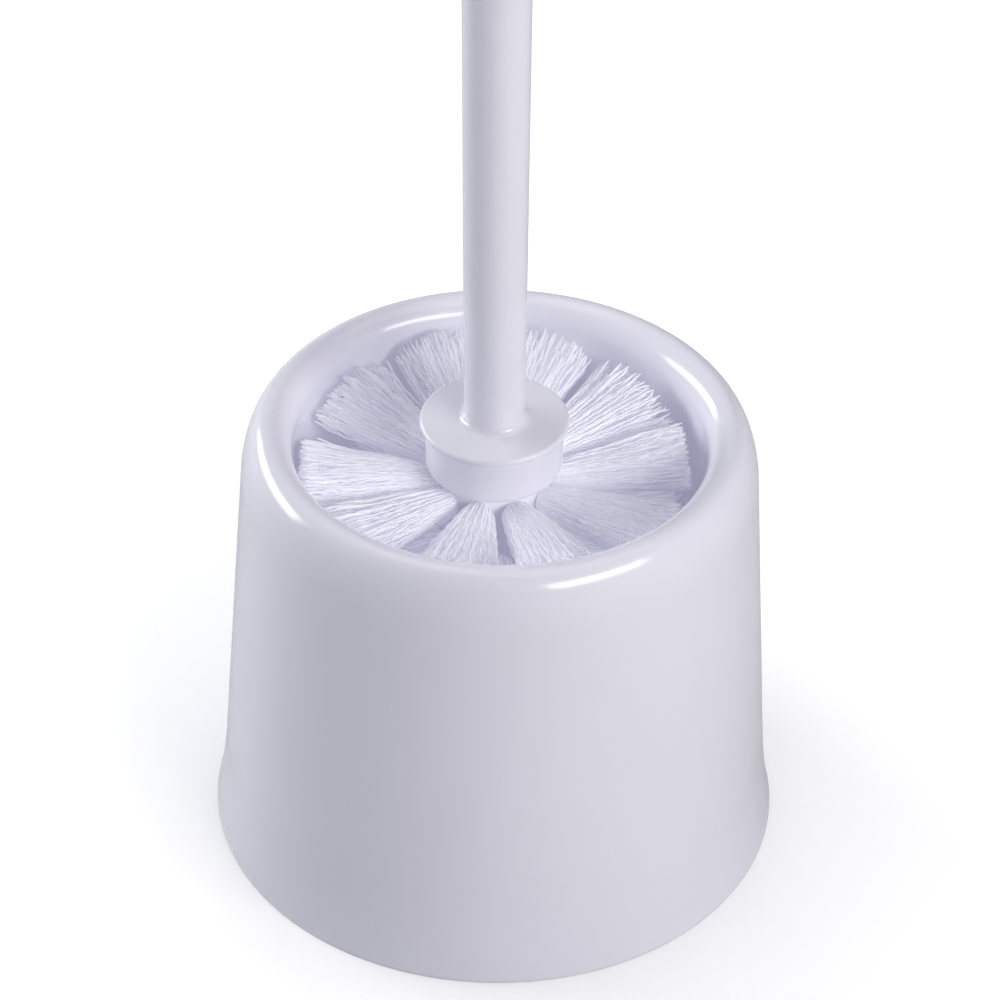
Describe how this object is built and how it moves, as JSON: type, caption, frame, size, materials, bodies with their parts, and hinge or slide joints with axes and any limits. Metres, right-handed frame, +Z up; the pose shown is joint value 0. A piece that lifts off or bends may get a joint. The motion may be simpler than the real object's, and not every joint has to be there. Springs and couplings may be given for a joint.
{
  "type": "toilet brush holder",
  "caption": "Round white plastic toilet brush holder with a rolled rim and a flared foot, and a lift-out brush with crimped bristle tufts.",
  "frame": {"origin": "centre of the pot's base, on the surface that it stands on", "axes": "+Z up along the pot's own axis, with the brush's handle leaning half a degree from it; the pictured side faces -Y, and +X is to its right"},
  "size_m": [0.1412, 0.1412, 0.381],
  "materials": {
    "pot_plastic": "glossy white with a slight lavender tint",
    "handle_plastic": "glossy white with a slight lavender tint",
    "core_plastic": "glossy white",
    "bristle": "white crimped filaments, satin"
  },
  "bodies": {
    "pot": {"pot": "pot_plastic"},
    "brush": {"handle": "handle_plastic", "end_cap": "handle_plastic", "head_core": "core_plastic", "tuft_a_01": "bristle", "tuft_a_02": "bristle", "tuft_a_03": "bristle", "tuft_a_04": "bristle", "tuft_a_05": "bristle", "tuft_a_06": "bristle", "tuft_a_07": "bristle", "tuft_a_08": "bristle", "tuft_a_09": "bristle", "tuft_a_10": "bristle", "tuft_b_01": "bristle", "tuft_b_02": "bristle", "tuft_b_03": "bristle", "tuft_b_04": "bristle", "tuft_b_05": "bristle", "tuft_b_06": "bristle", "tuft_b_07": "bristle", "tuft_b_08": "bristle", "tuft_b_09": "bristle", "tuft_b_10": "bristle", "tuft_c_01": "bristle", "tuft_c_02": "bristle", "tuft_c_03": "bristle", "tuft_c_04": "bristle", "tuft_c_05": "bristle", "tuft_c_06": "bristle", "tuft_c_07": "bristle", "tuft_c_08": "bristle", "tuft_c_09": "bristle", "tuft_c_10": "bristle", "tuft_d_01": "bristle", "tuft_d_02": "bristle", "tuft_d_03": "bristle", "tuft_d_04": "bristle", "tuft_d_05": "bristle", "tuft_d_06": "bristle", "tuft_d_07": "bristle", "tuft_d_08": "bristle", "tuft_d_09": "bristle", "tuft_d_10": "bristle", "tuft_e_01": "bristle", "tuft_e_02": "bristle", "tuft_e_03": "bristle", "tuft_e_04": "bristle", "tuft_e_05": "bristle", "tuft_e_06": "bristle", "tuft_e_07": "bristle", "tuft_e_08": "bristle", "tuft_e_09": "bristle", "tuft_e_10": "bristle", "tuft_f_01": "bristle", "tuft_f_02": "bristle", "tuft_f_03": "bristle", "tuft_f_04": "bristle", "tuft_f_05": "bristle", "tuft_g_01": "bristle"}
  },
  "joints": [
    {"name": "brush_lift", "type": "slide", "parent": "pot", "child": "brush", "axis": [0, 0, 1], "range_m": [0, 0.13]}
  ]
}
